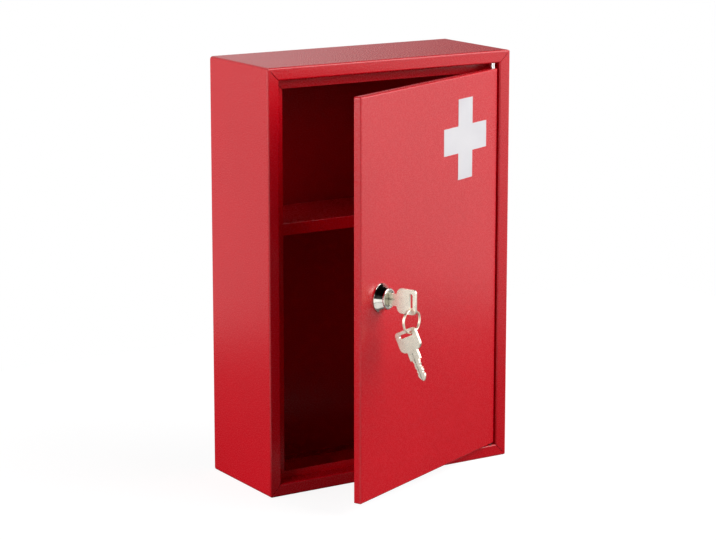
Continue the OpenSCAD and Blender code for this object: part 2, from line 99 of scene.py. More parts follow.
def new_material(name):
    """An empty material, its node tree, and the place on the piece that its patterns follow."""
    material = bpy.data.materials.new(name)
    material.use_nodes = True
    tree = material.node_tree
    tree.nodes.clear()
    place = add_node(tree, "ShaderNodeTexCoord", {}, {}).outputs["Object"]
    return material, tree, place


def finish_material(tree, inputs):
    """Ends a material in its shader."""
    shader = add_node(tree, "ShaderNodeBsdfPrincipled", {}, inputs)
    add_node(tree, "ShaderNodeOutputMaterial", {}, {"Surface": shader})


def powder_coat(name, colour, deep_colour):
    """Baked polyester powder: satin, with orange peel and a fine grain of fused specks."""
    material, tree, place = new_material(name)
    grain = add_node(tree, "ShaderNodeTexNoise", {}, {
        "Vector": place, "Scale": 1 / (GRAIN_MM * MM), "Detail": 2.0, "Roughness": 0.6})
    peel = add_node(tree, "ShaderNodeTexNoise", {}, {
        "Vector": place, "Scale": 1 / (PEEL_MM * MM), "Detail": 1.5, "Roughness": 0.45})
    cloud = add_node(tree, "ShaderNodeTexNoise", {}, {
        "Vector": place, "Scale": 1 / (CLOUD_MM * MM), "Detail": 2.0, "Roughness": 0.5})
    specks = add_node(tree, "ShaderNodeMapRange", SOFT_STEP, {
        **MIDDLE, "Value": grain, "To Min": GRAIN_SHADE[0], "To Max": GRAIN_SHADE[1]})
    clouds = add_node(tree, "ShaderNodeMapRange", SOFT_STEP, {
        **MIDDLE, "Value": cloud, "To Min": CLOUD_SHADE[0], "To Max": CLOUD_SHADE[1]})
    shade = add_node(tree, "ShaderNodeMath", {"operation": "ADD"}, {0: specks, 1: clouds})
    colours = add_node(tree, "ShaderNodeMix", COLOUR_MIX, {
        SHARE: shade, FIRST: linear(colour), SECOND: linear(deep_colour)})
    satin = add_node(tree, "ShaderNodeMapRange", SOFT_STEP, {
        **MIDDLE, "Value": grain, "To Min": POWDER_ROUGH[0], "To Max": POWDER_ROUGH[1]})
    waves = add_node(tree, "ShaderNodeBump", {}, {
        "Height": peel, "Distance": PEEL_HEIGHT_MM * MM, "Strength": 1.0})
    bumps = add_node(tree, "ShaderNodeBump", {}, {
        "Height": grain, "Distance": GRAIN_HEIGHT_MM * MM, "Strength": 1.0, "Normal": waves})
    finish_material(tree, {
        "Base Color": colours, "Roughness": satin, "Normal": bumps, "IOR": POWDER_IOR})
    return material


def dress(material, *node_names):
    """Gives CAD nodes their material."""
    for name in node_names:
        node = frame["nodes"][name]
        node.data.materials.clear()
        node.data.materials.append(material)


# An even bright red whose soft reflections break up over the orange peel.
red_powder = powder_coat("red_polyester_powder_coat", SIGNAL_RED, SIGNAL_RED_DEEP)
# The back panel is painted a deeper red: painted shade for the inside of the box, where little
# light gets in.
shaded_back_powder = powder_coat("red_powder_coat_painted_shade", BACK_SHADE_RED, BACK_SHADE_RED_DEEP)
dress(red_powder, "left_side_panel", "right_side_panel", "top_panel", "bottom_panel")
dress(shaded_back_powder, "back_panel")


# ------------------------------------------------------------------ shelf
# One shelf of the same sheet, its front folded down into a lip, lies on two small angle
# brackets spot-welded to the side panels. It is coated with the casing.
dress(red_powder, "shelf", "left_shelf_bracket", "right_shelf_bracket")


# ------------------------------------------------------------------ door
# A shallow pan folded from one sheet with a hem turned in all round, so that its edges are
# 6 mm thick and closed. Coated on both faces with the same powder.
dress(red_powder, "door_panel")


# ------------------------------------------------------------------ hinges
# Two steel pins are pressed into drilled steel blocks, which are welded into the corners of
# the door, and turn in holes of the frame. A washer of red vulcanised fibre on the lower pin
# carries the door.
DRAWN_STEEL = "8d8a86"
DRAWN_STEEL_DULL = "6f6a66"
GROUND_STEEL = "dcdcda"
GROUND_STEEL_DULL = "c8c8c6"
ZINC = "c9ccce"
ZINC_DULL = "aeb2b5"
# The dark grey-brown of the painted shade in crevices.
CREVICE_SHADE = "4a4740"
PATCH_MM = 4.0
# Between these shares of open air a crevice goes from full painted shade to unshaded metal.
CREVICE_SHADE_REACH = (0.55, 0.90)
FIBRE_RED = "6e1a12"
FIBRE_DARK = "541009"
FIBRE_ROUGH = (0.55, 0.75)
STRAND_MM = (1.2, 0.3, 0.15)
STRAND_HEIGHT_MM = 0.02


def metal(name, colours, rough, mark_mm, height_mm, at=(0, 0, 0), turn=(0, 0, 0), crevice_shade_mm=0):
    """A metal with patches of two colours and with marks, mark_mm long along each axis of
    the piece, which stands at that place and turn. The real marks are a few hundredths of a
    millimetre wide: drawn coarser so that they show. Crevices of the width given last get
    painted shade: their colour darkens where little light gets in."""
    material, tree, place = new_material(name)
    marks = add_node(tree, "ShaderNodeMapping", {"vector_type": "TEXTURE"}, {
        "Vector": place, "Location": at, "Rotation": turn,
        "Scale": [size * MM for size in mark_mm]})
    fine = add_node(tree, "ShaderNodeTexNoise", {}, {
        "Vector": marks, "Scale": 1.0, "Detail": 3.0, "Roughness": 0.6})
    patch = add_node(tree, "ShaderNodeTexNoise", {}, {
        "Vector": place, "Scale": 1 / (PATCH_MM * MM), "Detail": 2.0, "Roughness": 0.5})
    patches = add_node(tree, "ShaderNodeMapRange", SOFT_STEP, {
        **MIDDLE, "Value": patch, "To Min": 0.0, "To Max": 1.0})
    bright = add_node(tree, "ShaderNodeMix", COLOUR_MIX, {
        SHARE: patches, FIRST: linear(colours[0]), SECOND: linear(colours[1])})
    # Painted shade: where ambient occlusion finds a crevice, the colour goes towards dark
    # grey-brown.
    if crevice_shade_mm:
        open_air = add_node(tree, "ShaderNodeAmbientOcclusion", {
            "samples": 8, "only_local": True}, {"Distance": crevice_shade_mm * MM})
        unshaded = add_node(tree, "ShaderNodeMapRange", {}, {
            "Value": open_air.outputs["AO"],
            "From Min": CREVICE_SHADE_REACH[0], "From Max": CREVICE_SHADE_REACH[1], "To Min": 0.0, "To Max": 1.0})
        bright = add_node(tree, "ShaderNodeMix", COLOUR_MIX, {
            SHARE: unshaded, FIRST: linear(CREVICE_SHADE), SECOND: bright})
    gloss = add_node(tree, "ShaderNodeMapRange", SOFT_STEP, {
        **MIDDLE, "Value": fine, "To Min": rough[0], "To Max": rough[1]})
    bumps = add_node(tree, "ShaderNodeBump", {}, {
        "Height": fine, "Distance": height_mm * MM, "Strength": 1.0})
    finish_material(tree, {
        "Base Color": bright, "Roughness": gloss, "Normal": bumps, "Metallic": 1.0})
    return material


def vulcanised_fibre(name):
    """Pressed cotton fibre: dull red-brown, with short strands lying in the sheet."""
    material, tree, place = new_material(name)
    strands = add_node(tree, "ShaderNodeMapping", {"vector_type": "TEXTURE"}, {
        "Vector": place, "Scale": [size * MM for size in STRAND_MM]})
    fibre = add_node(tree, "ShaderNodeTexNoise", {}, {
        "Vector": strands, "Scale": 1.0, "Detail": 2.0, "Distortion": 0.6})
    mottle = add_node(tree, "ShaderNodeMapRange", SOFT_STEP, {
        **MIDDLE, "Value": fibre, "To Min": 0.0, "To Max": 1.0})
    colours = add_node(tree, "ShaderNodeMix", COLOUR_MIX, {
        SHARE: mottle, FIRST: linear(FIBRE_RED), SECOND: linear(FIBRE_DARK)})
    dull = add_node(tree, "ShaderNodeMapRange", SOFT_STEP, {
        **MIDDLE, "Value": fibre, "To Min": FIBRE_ROUGH[0], "To Max": FIBRE_ROUGH[1]})
    bumps = add_node(tree, "ShaderNodeBump", {}, {
        "Height": fibre, "Distance": STRAND_HEIGHT_MM * MM, "Strength": 1.0})
    finish_material(tree, {"Base Color": colours, "Roughness": dull, "Normal": bumps})
    return material


# Grey, with dull streaks along the drawing direction.
drawn_steel = metal(
    "bare_drawn_steel", (DRAWN_STEEL, DRAWN_STEEL_DULL),
    rough=(0.32, 0.50), mark_mm=(0.25, 0.25, 6.0), height_mm=0.004)
# A pale bluish silver, evenly mottled by the plating.
zinc_plate = metal(
    "bright_zinc_plate", (ZINC, ZINC_DULL),
    rough=(0.22, 0.36), mark_mm=(0.7, 0.7, 0.7), height_mm=0.003)
# Nearly white, with fine rings left by the wheel, so a pin shines out of its dark gap.
ground_steel = metal(
    "ground_steel_pin", (GROUND_STEEL, GROUND_STEEL_DULL),
    rough=(0.12, 0.20), mark_mm=(0.6, 0.6, 0.08), height_mm=0.001)
# A dull brown-red ring under the door.
red_fibre = vulcanised_fibre("red_vulcanised_fibre")
dress(drawn_steel, "top_hinge_block", "bottom_hinge_block")
dress(ground_steel, "top_hinge_pin", "bottom_hinge_pin")
dress(red_fibre, "hinge_washer")


# ------------------------------------------------------------------ door buffers
# Two small stick-on stops of black rubber behind the free edge keep the closed door from
# knocking on the frame. Moulded as blunt cones with a shallow dimple in the end.
RUBBER = "1d1c1c"
RUBBER_BLOOM = "353332"
RUBBER_ROUGH = (0.6, 0.8)
RUBBER_GRAIN_MM = 0.35   # the mould's texture is near 0.1 mm: drawn coarser so that it shows
RUBBER_GRAIN_HEIGHT_MM = 0.015
BLOOM_MM = 3.0
BLOOM_MOST = 0.8
BUFFER_D_MM = 5.0
BUFFER_H_MM = 5.7
BUFFER_SIDES = 48
BUFFER_TAPER = 0.8
BUFFER_ROUND_MM = 0.35
RIM_MM = 1.1
DIMPLE_WALL_MM = 0.5
DIMPLE_DEEP_MM = 0.35
BUFFER_FROM_PIN_MM = 144.3
BUFFER_BEHIND_PIN_MM = 3.4
BUFFER_FROM_EDGE_MM = 3.7
# A face looks along an axis when its normal goes this far along it.
FACING = 0.9
# A turned or moulded form is smooth up to this angle between its faces.
SMOOTH_DEG = 50


def joint(name):
    """A joint of the frame by its name."""
    return next(j for j in frame["joints"] if j["name"] == name)


def start_clean():
    """Leaves edit mode and deselects everything."""
    if bpy.context.object and bpy.context.object.mode != "OBJECT":
        bpy.ops.object.mode_set(mode="OBJECT")
    bpy.ops.object.select_all(action="DESELECT")


def select_faces(piece, wanted):
    """Selects the faces for which wanted(centre, normal) is true, and goes on in edit mode."""
    bpy.ops.object.mode_set(mode="EDIT")
    bpy.ops.mesh.select_mode(type="FACE")
    bpy.ops.mesh.select_all(action="DESELECT")
    bpy.ops.object.mode_set(mode="OBJECT")
    for face in piece.data.polygons:
        face.select = wanted(face.center, face.normal)
    bpy.ops.object.mode_set(mode="EDIT")


def round_edges(piece, width_mm, steps, from_degrees):
    """Rounds the edges sharper than that angle, and applies it."""
    bpy.ops.object.modifier_add(type="BEVEL")
    bevel = piece.modifiers[-1]
    bevel.width = width_mm * MM
    bevel.segments = steps
    bevel.limit_method = "ANGLE"
    bevel.angle_limit = math.radians(from_degrees)
    bevel.harden_normals = True
    bpy.ops.object.modifier_apply(modifier=bevel.name)


def set_in_place(piece, material, body, node_name):
    """Fixes the piece at the origin, gives it its finish, and puts it on its body in the
    place of its CAD node."""
    bpy.ops.object.transform_apply(location=True, rotation=True, scale=True)
    piece.data.materials.clear()
    piece.data.materials.append(material)
    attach(piece, body)
    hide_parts(node_name)


def moulded_rubber(name):
    """Black rubber: matt, with a pale bloom and a fine moulded texture."""
    material, tree, place = new_material(name)
    grain = add_node(tree, "ShaderNodeTexNoise", {}, {
        "Vector": place, "Scale": 1 / (RUBBER_GRAIN_MM * MM), "Detail": 2.0, "Roughness": 0.6})
    bloom = add_node(tree, "ShaderNodeTexNoise", {}, {
        "Vector": place, "Scale": 1 / (BLOOM_MM * MM), "Detail": 2.0, "Roughness": 0.5})
    dusty = add_node(tree, "ShaderNodeMapRange", SOFT_STEP, {
        **MIDDLE, "Value": bloom, "To Min": 0.0, "To Max": BLOOM_MOST})
    colours = add_node(tree, "ShaderNodeMix", COLOUR_MIX, {
        SHARE: dusty, FIRST: linear(RUBBER), SECOND: linear(RUBBER_BLOOM)})
    matt = add_node(tree, "ShaderNodeMapRange", SOFT_STEP, {
        **MIDDLE, "Value": bloom, "To Min": RUBBER_ROUGH[0], "To Max": RUBBER_ROUGH[1]})
    bumps = add_node(tree, "ShaderNodeBump", {}, {
        "Height": grain, "Distance": RUBBER_GRAIN_HEIGHT_MM * MM, "Strength": 1.0})
    finish_material(tree, {"Base Color": colours, "Roughness": matt, "Normal": bumps})
    return material


# A soft black without highlights, a little dusty.
black_rubber = moulded_rubber("black_moulded_rubber")

hinge_line = Vector(joint("door_hinge")["pos_m"])
door_out = -Vector(joint("lock_turn")["axis"])
door_across = Vector((-door_out.y, door_out.x, 0))
door_low, door_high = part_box("door_panel")
buffer_foot = (
    hinge_line - door_across * BUFFER_FROM_PIN_MM * MM - door_out * BUFFER_BEHIND_PIN_MM * MM)
lowest_foot = Vector((buffer_foot.x, buffer_foot.y, door_low.z + BUFFER_FROM_EDGE_MM * MM))
between_buffers = (door_high.z - door_low.z) - 2 * BUFFER_FROM_EDGE_MM * MM

start_clean()
bpy.ops.mesh.primitive_cylinder_add(
    vertices=BUFFER_SIDES, radius=BUFFER_D_MM / 2 * MM, depth=BUFFER_H_MM * MM,
    location=(0, 0, BUFFER_H_MM / 2 * MM))
buffers = bpy.context.object
buffers.name = "rubber_door_buffers"
bpy.ops.object.transform_apply(location=True, rotation=True, scale=True)
select_faces(buffers, lambda centre, normal: normal.z > FACING)
bpy.ops.transform.resize(
    value=(BUFFER_TAPER, BUFFER_TAPER, 1), center_override=(0, 0, BUFFER_H_MM * MM))
bpy.ops.mesh.inset(thickness=RIM_MM * MM)
bpy.ops.transform.translate(value=(0, 0, -DIMPLE_DEEP_MM * MM))
bpy.ops.mesh.inset(thickness=DIMPLE_WALL_MM * MM)
bpy.ops.object.mode_set(mode="OBJECT")
round_edges(buffers, BUFFER_ROUND_MM, steps=4, from_degrees=14)
bpy.ops.object.shade_smooth_by_angle(angle=math.radians(SMOOTH_DEG))
bpy.ops.object.mode_set(mode="EDIT")
bpy.ops.mesh.select_all(action="SELECT")
bpy.ops.mesh.duplicate()
bpy.ops.transform.translate(value=(0, between_buffers, 0))
bpy.ops.object.mode_set(mode="OBJECT")
buffers.matrix_world = (
    Matrix.Translation(lowest_foot)
    @ Matrix((-door_across, (0, 0, 1), -door_out)).transposed().to_4x4())
set_in_place(buffers, black_rubber, "door", "door_buffers")


# ------------------------------------------------------------------ cross
# A first-aid cross cut from white self-adhesive vinyl film and pressed on the coated door.
# Its cut edge shows the thickness of the film.
FILM_WHITE = "dedcdf"
FILM_SHADE = "d6d4d8"
FILM_IOR = 1.45
FILM_ROUGH = (0.30, 0.38)
FILM_WAVE_MM = 2.2
FILM_WAVE_HEIGHT_MM = 0.006
FILM_CLOUD_MM = 25


def vinyl_film(name):
    """White vinyl: smooth and half glossy, with a faint waviness where it follows the powder."""
    material, tree, place = new_material(name)
    wave = add_node(tree, "ShaderNodeTexNoise", {}, {
        "Vector": place, "Scale": 1 / (FILM_WAVE_MM * MM), "Detail": 1.5, "Roughness": 0.4})
    cloud = add_node(tree, "ShaderNodeTexNoise", {}, {
        "Vector": place, "Scale": 1 / (FILM_CLOUD_MM * MM), "Detail": 2.0, "Roughness": 0.5})
    clouds = add_node(tree, "ShaderNodeMapRange", SOFT_STEP, {
        **MIDDLE, "Value": cloud, "To Min": 0.0, "To Max": 1.0})
    colours = add_node(tree, "ShaderNodeMix", COLOUR_MIX, {
        SHARE: clouds, FIRST: linear(FILM_WHITE), SECOND: linear(FILM_SHADE)})
    gloss = add_node(tree, "ShaderNodeMapRange", SOFT_STEP, {
        **MIDDLE, "Value": cloud, "To Min": FILM_ROUGH[0], "To Max": FILM_ROUGH[1]})
    bumps = add_node(tree, "ShaderNodeBump", {}, {
        "Height": wave, "Distance": FILM_WAVE_HEIGHT_MM * MM, "Strength": 1.0})
    finish_material(tree, {
        "Base Color": colours, "Roughness": gloss, "Normal": bumps, "IOR": FILM_IOR})
    return material


# A clean white, smoother than the paint around it.
dress(vinyl_film("white_vinyl_film"), "door_cross")


# ------------------------------------------------------------------ lock
# A cam lock: a turned brass housing, nickel-plated and polished, is clamped through the door
# by a zinc-plated nut over a toothed washer. Its plug, with five sprung brass wafers, turns a
# steel cam that a screw holds on behind.
NICKEL = "d9d6cf"
NICKEL_DULL = "c9c5bc"
PLUG_NICKEL = "a5a698"
PLUG_NICKEL_DULL = "8f8f81"
BRASS = "c09a55"
BRASS_DULL = "a37f40"
TURNED_PATCH_MM = 3.0
# So long along the axis that only the distance from it tells in the rings.
ALONG_AXIS = 1e3
HOUSING_EDGE_MM = 0.12
PLUG_EDGE_MM = 0.12
NUT_EDGE_MM = 0.25
CAM_EDGE_MM = 0.2
SCREW_EDGE_MM = 0.15
# What is closer than this was one point, what bends less than this was one flat face, and
# what bends more than this is an edge.
WELD_MM = 0.002
FLAT_DEG = 0.3
EDGE_DEG = 35
# Where the wafers' grooves end in front of the lock's origin, and the room added there.
GROOVE_END_MM = 4.8
GROOVE_END_REACH_MM = 0.1
GROOVE_ROOM_MM = 0.08


def turned_metal(name, colours, rough, ring_mm, height_mm, at, turn):
    """A metal turned on a lathe: fine rings round the axis of the piece. The real ones are
    near 0.05 mm apart: drawn coarser so that they show."""
    material, tree, place = new_material(name)
    section = add_node(tree, "ShaderNodeMapping", {"vector_type": "TEXTURE"}, {
        "Vector": place, "Location": at, "Rotation": turn,
        "Scale": (ring_mm * MM, ring_mm * MM, ALONG_AXIS)})
    radius = add_node(tree, "ShaderNodeVectorMath", {"operation": "LENGTH"}, {0: section})
    rings = add_node(tree, "ShaderNodeTexNoise", {"noise_dimensions": "1D"}, {
        "W": radius, "Scale": 1.0, "Detail": 2.0})
    patch = add_node(tree, "ShaderNodeTexNoise", {}, {
        "Vector": place, "Scale": 1 / (TURNED_PATCH_MM * MM), "Detail": 2.0, "Roughness": 0.5})
    patches = add_node(tree, "ShaderNodeMapRange", SOFT_STEP, {
        **MIDDLE, "Value": patch, "To Min": 0.0, "To Max": 1.0})
    bright = add_node(tree, "ShaderNodeMix", COLOUR_MIX, {
        SHARE: patches, FIRST: linear(colours[0]), SECOND: linear(colours[1])})
    gloss = add_node(tree, "ShaderNodeMapRange", SOFT_STEP, {
        **MIDDLE, "Value": rings, "To Min": rough[0], "To Max": rough[1]})
    bumps = add_node(tree, "ShaderNodeBump", {}, {
        "Height": rings, "Distance": height_mm * MM, "Strength": 1.0})
    finish_material(tree, {
        "Base Color": bright, "Roughness": gloss, "Normal": bumps, "Metallic": 1.0})
    return material


def softened(node_name, name, material, body, edge_mm, steps=2):
    """A piece from a CAD node, with its triangles merged into faces and its sharp edges
    rounded, in the place of that node."""
    start_clean()
    piece = bpy.data.objects.new(name, frame["nodes"][node_name].data.copy())
    bpy.context.collection.objects.link(piece)
    bpy.context.view_layer.objects.active = piece
    piece.select_set(True)
    bpy.ops.mesh.customdata_custom_splitnormals_clear()
    bpy.ops.object.mode_set(mode="EDIT")
    bpy.ops.mesh.select_all(action="SELECT")
    bpy.ops.mesh.remove_doubles(threshold=WELD_MM * MM)
    bpy.ops.mesh.dissolve_limited(angle_limit=math.radians(FLAT_DEG))
    bpy.ops.object.mode_set(mode="OBJECT")
    bpy.ops.object.shade_smooth_by_angle(angle=math.radians(EDGE_DEG))
    round_edges(piece, edge_mm, steps, EDGE_DEG)
    set_in_place(piece, material, body, node_name)
    return piece


def ends_the_grooves(centre, normal):
    """Whether a face of the housing is a front end of the grooves that the wafers drop into."""
    off_the_end = (centre - lock_at).dot(door_out) - GROOVE_END_MM * MM
    return normal.dot(door_out) < -FACING and abs(off_the_end) < GROOVE_END_REACH_MM * MM


lock_at = Vector(joint("lock_turn")["pos_m"])
lock_matrix = Matrix((door_across, (0, 0, 1), door_out)).transposed()
lock_turned = lock_matrix.to_euler()
# A mirror for the room: hard black and white bands, drawn out a little by the turning marks.
nickel_lock = turned_metal(
    "polished_nickel_plate", (NICKEL, NICKEL_DULL),
    rough=(0.06, 0.13), ring_mm=0.22, height_mm=0.0012, at=lock_at, turn=lock_turned)
# Greyer and softer than the housing, because keys have rubbed its face.
nickel_plug = turned_metal(
    "satin_nickel_plate", (PLUG_NICKEL, PLUG_NICKEL_DULL),
    rough=(0.20, 0.32), ring_mm=0.18, height_mm=0.003, at=lock_at, turn=lock_turned)
# Warm yellow slips between the pale plug and the key.
brass = metal(
    "sheet_brass", (BRASS, BRASS_DULL),
    rough=(0.25, 0.40), mark_mm=(0.2, 3.0, 0.2), height_mm=0.003, at=lock_at, turn=lock_turned)
housing = softened(
    "lock_housing", "turned_lock_housing", nickel_lock, "door", HOUSING_EDGE_MM)
# The grooves inside run on a little past the first wafer, so that it drops freely.
select_faces(housing, ends_the_grooves)
bpy.ops.transform.translate(value=door_out * GROOVE_ROOM_MM * MM)
bpy.ops.object.mode_set(mode="OBJECT")
softened("lock_plug", "turned_lock_plug", nickel_plug, "plug", PLUG_EDGE_MM)
softened("lock_nut", "hexagon_lock_nut", zinc_plate, "door", NUT_EDGE_MM)
softened("lock_cam", "stamped_lock_cam", zinc_plate, "plug", CAM_EDGE_MM)
softened("cam_screw", "slotted_cam_screw", zinc_plate, "plug", SCREW_EDGE_MM)
dress(zinc_plate, "lock_tooth_washer", "cam_washer")
dress(brass, "lock_wafers")


# ------------------------------------------------------------------ keys
# Two flat keys stamped from 2 mm nickel-silver strip, deburred by tumbling, so that their
# edges are soft. A groove is milled along each blade, and the head has a slot for the ring.
KEY_SILVER = "efe8d8"
KEY_SILVER_DULL = "e4ddcc"
# Fine short brushing along the key, and the width of the crevices that get painted shade.
KEY_FINISH = {
    "rough": (0.24, 0.34), "mark_mm": (0.14, 0.14, 2.0), "height_mm": 0.0025, "crevice_shade_mm": 0.6}
KEY_EDGE_MM = 0.15
KEY_EDGE_STEPS = 3
# From the key's place in the lock to hanging point down, leaning a little off the plumb.
SPARE_TURN_DEG = -116

spare_turned = (lock_matrix @ Matrix.Rotation(math.radians(SPARE_TURN_DEG), 3, "X")).to_euler()
# A warm pale silver, brushed along the blade, with painted shade in the groove and the notches.
door_key_metal = metal(
    "brushed_nickel_silver", (KEY_SILVER, KEY_SILVER_DULL),
    at=lock_at, turn=lock_turned, **KEY_FINISH)
# The same, turned so that its marks run along the hanging key.
spare_key_metal = metal(
    "brushed_nickel_silver_spare", (KEY_SILVER, KEY_SILVER_DULL),
    at=lock_at, turn=spare_turned, **KEY_FINISH)
softened(
    "door_key", "stamped_door_key", door_key_metal, "key",
    KEY_EDGE_MM, KEY_EDGE_STEPS)
softened(
    "spare_key", "stamped_spare_key", spare_key_metal, "spare",
    KEY_EDGE_MM, KEY_EDGE_STEPS)


# ------------------------------------------------------------------ key ring
# A split ring: round spring wire coiled in two flat turns that press on each other, with one
# short step between them. The cut ends are deburred.
WIRE_NICKEL = "efe8d8"
WIRE_NICKEL_DULL = "e0d8c6"
WIRE_D_MM = 1.0
WIRE_SIDES = 20
WIRE_END_ROUND_MM = 0.15
WIRE_SEAM_MM = 0.001
RING_RADIUS_MM = 8.2
TURN_STEP_MM = 0.48
FLAT_TURN_DEG = 320
FLAT_STEPS = 100
RAMP_DEG = 36
RAMP_STEPS = 12
RING_START_DEG = 40

ring_out = Vector(joint("ring_swing")["axis"])
ring_across = Vector((-ring_out.y, ring_out.x, 0))
ring_low, ring_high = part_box("key_ring")
ring_centre = (ring_low + ring_high) / 2
# The silver of the keys, but even and without a grain, with a long highlight round the wire.
wire_metal = metal(
    "nickel_plated_spring_wire", (WIRE_NICKEL, WIRE_NICKEL_DULL),
    rough=(0.26, 0.36), mark_mm=(0.3, 0.3, 0.3), height_mm=0.001)

start_clean()
bpy.ops.mesh.primitive_circle_add(
    vertices=WIRE_SIDES, radius=WIRE_D_MM / 2 * MM,
    location=(RING_RADIUS_MM * MM, 0, TURN_STEP_MM * MM), rotation=(math.pi / 2, 0, 0))
ring = bpy.context.object
ring.name = "split_key_ring"
bpy.ops.object.transform_apply(location=True, rotation=True, scale=True)
bpy.ops.object.mode_set(mode="EDIT")
bpy.ops.mesh.select_all(action="SELECT")
round_the_middle = {"center": (0, 0, 0), "axis": (0, 0, 1)}
flat_turn = {"steps": FLAT_STEPS, "angle": math.radians(FLAT_TURN_DEG), **round_the_middle}
ramp_step = {"steps": 1, "angle": math.radians(RAMP_DEG / RAMP_STEPS), **round_the_middle}
bpy.ops.mesh.spin(**flat_turn)
for step in range(RAMP_STEPS):
    drop = (
        math.cos(math.pi * (step + 1) / RAMP_STEPS) - math.cos(math.pi * step / RAMP_STEPS))
    bpy.ops.mesh.spin(**ramp_step)
    bpy.ops.transform.translate(value=(0, 0, TURN_STEP_MM * MM * drop))
bpy.ops.mesh.spin(**flat_turn)
bpy.ops.mesh.select_all(action="SELECT")
bpy.ops.mesh.remove_doubles(threshold=WIRE_SEAM_MM * MM)
bpy.ops.mesh.fill_holes(sides=0)
bpy.ops.mesh.normals_make_consistent(inside=False)
bpy.ops.object.mode_set(mode="OBJECT")
round_edges(ring, WIRE_END_ROUND_MM, steps=2, from_degrees=60)
bpy.ops.object.shade_smooth_by_angle(angle=math.radians(SMOOTH_DEG))
ring.matrix_world = (
    Matrix.Translation(ring_centre)
    @ Matrix((ring_across, (0, 0, 1), ring_out)).transposed().to_4x4()
    @ Matrix.Rotation(math.radians(RING_START_DEG), 4, "Z"))
set_in_place(ring, wire_metal, "ring", "key_ring")


# ------------------------------------------------------------------ camera and table
# The camera looks a little down from the front left. The cabinet stands on a small pale
# table, white to the camera and dark in the paint and the metal, except for a patch in front
# on the left which glows in reflections only, as painted light.
CAMERA_PLACE = (-0.8818, -1.39945, 0.50269)
CAMERA_YAW = 0.5606
CAMERA_PITCH = 0.1897
FOCAL_MM = 118.48
SENSOR_MM = 36
SHIFT_UP = -0.08
FARTHEST = 100
TABLE_GREY = "7c7c7c"
TABLE_SEEN = 0.88
TABLE_MIRRORED = 0.85
# The patch of the table in front on the left that glows in reflections only, as painted light:
# along each axis where its glow starts and where it is full.
TABLE_GLOW_PATCH = (("X", -0.045, -0.060), ("Y", -0.105, -0.125), ("Y", -0.325, -0.310))
TABLE_CENTRE = (-0.015, 0.015, 0)
TABLE_SIZE = (1.17, 0.73, 1)

start_clean()
bpy.ops.object.camera_add(
    location=CAMERA_PLACE, rotation=(math.pi / 2 - CAMERA_PITCH, 0, -CAMERA_YAW))
camera = bpy.context.object
camera.name = "studio_camera"
camera.data.lens = FOCAL_MM
camera.data.sensor_width = SENSOR_MM
camera.data.shift_y = SHIFT_UP
camera.data.clip_end = FARTHEST
bpy.context.scene.camera = camera

bpy.ops.mesh.primitive_plane_add(size=1, location=TABLE_CENTRE)
floor = bpy.context.object
floor.name = "floor"
floor.scale = TABLE_SIZE
bpy.ops.object.transform_apply(location=True, rotation=True, scale=True)

# Matt paper: it takes the cabinet's soft shadow and glows just enough to look white.
floor_material, tree, spot = new_material("pale_table")
rays = add_node(tree, "ShaderNodeLightPath", {}, {})
mirrored = add_node(tree, "ShaderNodeMath", {"operation": "MAXIMUM"}, {
    0: rays.outputs["Is Glossy Ray"], 1: rays.outputs["Is Transmission Ray"]})
spots = add_node(tree, "ShaderNodeSeparateXYZ", {}, {0: spot})
# Painted reflection: only mirrored rays see the patch glow, as if lamp light lay on the table
# there.
glow = mirrored
for axis, dark_at, full_at in TABLE_GLOW_PATCH:
    in_patch = add_node(tree, "ShaderNodeMapRange", {}, {
        "Value": spots.outputs[axis],
        "From Min": dark_at, "From Max": full_at, "To Min": 0.0, "To Max": 1.0})
    glow = add_node(tree, "ShaderNodeMath", {"operation": "MULTIPLY"}, {0: glow, 1: in_patch})
glow = add_node(tree, "ShaderNodeMath", {"operation": "MULTIPLY"}, {0: glow, 1: TABLE_MIRRORED})
seen = add_node(tree, "ShaderNodeMath", {"operation": "MULTIPLY_ADD"}, {
    0: rays.outputs["Is Camera Ray"], 1: TABLE_SEEN, 2: glow})
paper = add_node(tree, "ShaderNodeBsdfDiffuse", {}, {"Color": linear(TABLE_GREY)})
light = add_node(tree, "ShaderNodeEmission", {}, {"Strength": seen})
both = add_node(tree, "ShaderNodeAddShader", {}, {0: paper, 1: light})
add_node(tree, "ShaderNodeOutputMaterial", {}, {"Surface": both})
floor.data.materials.append(floor_material)


# ------------------------------------------------------------------ lamps and room
# Soft boxes light the cabinet from both sides. Around it stand a white wall behind, a window
# side at the front right and a dark room at the front left, which paint and metal mirror.
LAMP_DISTANCE = 1.8
LAMP_TARGET = Vector((0, -0.03, 0.15))
# Name, azimuth (0 in front, 90 to the right) and elevation in degrees, width, height, watts.
LAMPS = (
    ("key_lamp", 50, 33, 2.0, 1.5, 44.5),
    ("low_lamp", 55, 8, 1.6, 1.0, 5.5),
    ("left_lamp", -80, 16, 1.6, 1.2, 24),
    ("back_left_lamp", -120, 12, 1.2, 1.0, 10))
ROOM_WHITE = (1, 1, 1, 1)
WALL_SEEN = 1.0
AMBIENT = 0.02
AMBIENT_BEHIND = 0.20
BEHIND_FULL = 0.6
# How white the room is in a reflection, along the line from the wall behind on the left
# (-1.3) over the dark side in front on the left (0) to the window side on the right (+1.3).
ROOM_LINE = (1.0, -0.8, 0.0)
ROOM_LINE_END = 1.3
ROOM_SIDES = ((-1.0, 0.68), (-0.2, 0.68), (0.0, 0.03), (0.35, 0.03), (0.85, 0.85))
WINDOW_BRIGHTER = 1.2
WINDOW_FROM, WINDOW_FULL = 0.3, 0.8
# The walls end at this height, softly, and the one behind reaches higher.
WALL_FULL_TO, WALL_TOP = 0.33, 0.50
WALL_HIGHER_BEHIND = 0.19
OVER_WALL = 0.02
